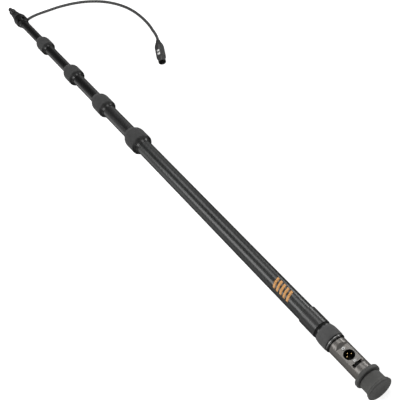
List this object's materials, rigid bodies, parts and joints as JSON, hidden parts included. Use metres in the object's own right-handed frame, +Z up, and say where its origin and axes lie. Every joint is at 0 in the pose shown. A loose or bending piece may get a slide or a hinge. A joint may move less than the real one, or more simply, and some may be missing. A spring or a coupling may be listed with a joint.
{
  "type": "boom pole",
  "caption": "Telescopic microphone boom pole with twist-lock collars, internal cable, side connector socket in the base, rubber foot, threaded tip and a short cable with a plug.",
  "frame": {"origin": "on the surface that the pole lies on, midway between the foot's rim and the end of the tip's stud, under the pole's axis", "axes": "+X along the pole from the rubber foot to the threaded tip, +Z up; the cable lies on the -Y side"},
  "size_m": [1.312, 0.2194, 0.0436],
  "materials": {
    "foot_rubber": "matte moulded rubber, dark grey",
    "grip_rubber": "fine knurled rubber, dark grey",
    "carbon_main": "satin lacquered carbon fibre weave",
    "carbon_inner": "satin black carbon fibre",
    "ferrule_black": "glossy black anodised",
    "housing_metal": "turned and milled, warm grey anodised",
    "bare_aluminium": "turned aluminium",
    "black_anodised": "satin black anodised",
    "collet_nylon": "natural nylon",
    "black_plastic": "moulded black plastic",
    "contact_gold": "gold plated",
    "screw_steel": "bright steel",
    "wire_red": "insulated wire",
    "cable_jacket": "matte black cable jacket",
    "seal_rubber": "black rubber",
    "black_oxide": "black oxide steel",
    "mark_orange": "orange print"
  },
  "bodies": {
    "base": {"foot_cap": "foot_rubber", "foot_ring": "foot_rubber", "end_plug": "bare_aluminium", "base_housing": "housing_metal", "slot_liner": "black_plastic", "socket_shell": "black_plastic", "socket_insert": "black_plastic", "socket_pins": "contact_gold", "socket_screws": "screw_steel", "socket_wires": "wire_red", "coupling_seal": "seal_rubber", "ferrule": "ferrule_black", "main_tube": "carbon_main", "clamp_base_1": "black_anodised", "collet_1": "collet_nylon", "lead_tail": "cable_jacket"},
    "base_collar": {"coupling_nut": "black_anodised", "coupling_grip": "grip_rubber", "retaining_ring": "bare_aluminium"},
    "section_2": {"tube_2": "carbon_inner", "guide_bush_2": "collet_nylon", "clamp_base_2": "black_anodised", "collet_2": "collet_nylon"},
    "section_3": {"tube_3": "carbon_inner", "guide_bush_3": "collet_nylon", "clamp_base_3": "black_anodised", "collet_3": "collet_nylon"},
    "section_4": {"tube_4": "carbon_inner", "guide_bush_4": "collet_nylon", "clamp_base_4": "black_anodised", "collet_4": "collet_nylon"},
    "section_5": {"tube_5": "carbon_inner", "guide_bush_5": "collet_nylon", "lead_coil": "cable_jacket", "lead_anchor": "black_plastic", "lead_bend": "cable_jacket", "tip_head": "black_anodised", "tip_stud": "black_oxide", "thread_adapter": "black_anodised", "cable_grommet": "seal_rubber", "cord": "cable_jacket", "plug_boot": "seal_rubber", "plug_shell": "black_anodised", "plug_insert": "black_plastic", "plug_contacts": "contact_gold", "latch_spring": "screw_steel"},
    "collar_1": {"lock_nut_1": "black_anodised", "grip_1": "grip_rubber"},
    "collar_2": {"lock_nut_2": "black_anodised", "grip_2": "grip_rubber"},
    "collar_3": {"lock_nut_3": "black_anodised", "grip_3": "grip_rubber"},
    "collar_4": {"lock_nut_4": "black_anodised", "grip_4": "grip_rubber"},
    "plug_button": {"plug_latch": "screw_steel"}
  },
  "joints": [
    {"name": "section_2_slide", "type": "slide", "parent": "base", "child": "section_2", "axis": [1, 0, 0], "range_m": [-0.084, 0.32]},
    {"name": "section_3_slide", "type": "slide", "parent": "section_2", "child": "section_3", "axis": [1, 0, 0], "range_m": [-0.08, 0.37]},
    {"name": "section_4_slide", "type": "slide", "parent": "section_3", "child": "section_4", "axis": [1, 0, 0], "range_m": [-0.088, 0.41]},
    {"name": "section_5_slide", "type": "slide", "parent": "section_4", "child": "section_5", "axis": [1, 0, 0], "range_m": [-0.078, 0.46]},
    {"name": "collar_1_twist", "type": "hinge", "parent": "base", "child": "collar_1", "pos_m": [0.038, 0, 0.0218], "axis": [1, 0, 0], "range_deg": [0, 120]},
    {"name": "collar_2_twist", "type": "hinge", "parent": "section_2", "child": "collar_2", "pos_m": [0.18, 0, 0.0218], "axis": [1, 0, 0], "range_deg": [0, 120]},
    {"name": "collar_3_twist", "type": "hinge", "parent": "section_3", "child": "collar_3", "pos_m": [0.318, 0, 0.0218], "axis": [1, 0, 0], "range_deg": [0, 120]},
    {"name": "collar_4_twist", "type": "hinge", "parent": "section_4", "child": "collar_4", "pos_m": [0.46, 0, 0.0218], "axis": [1, 0, 0], "range_deg": [0, 120]},
    {"name": "base_collar_twist", "type": "hinge", "parent": "base", "child": "base_collar", "pos_m": [-0.542, 0, 0.0218], "axis": [1, 0, 0], "range_deg": [0, 180]},
    {"name": "plug_latch_press", "type": "slide", "parent": "section_5", "child": "plug_button", "axis": [0, 0, -1], "range_m": [0, 0.001], "stiffness_N_per_m": 900, "springref_m": -0.001, "deforming": ["latch_spring"]}
  ]
}
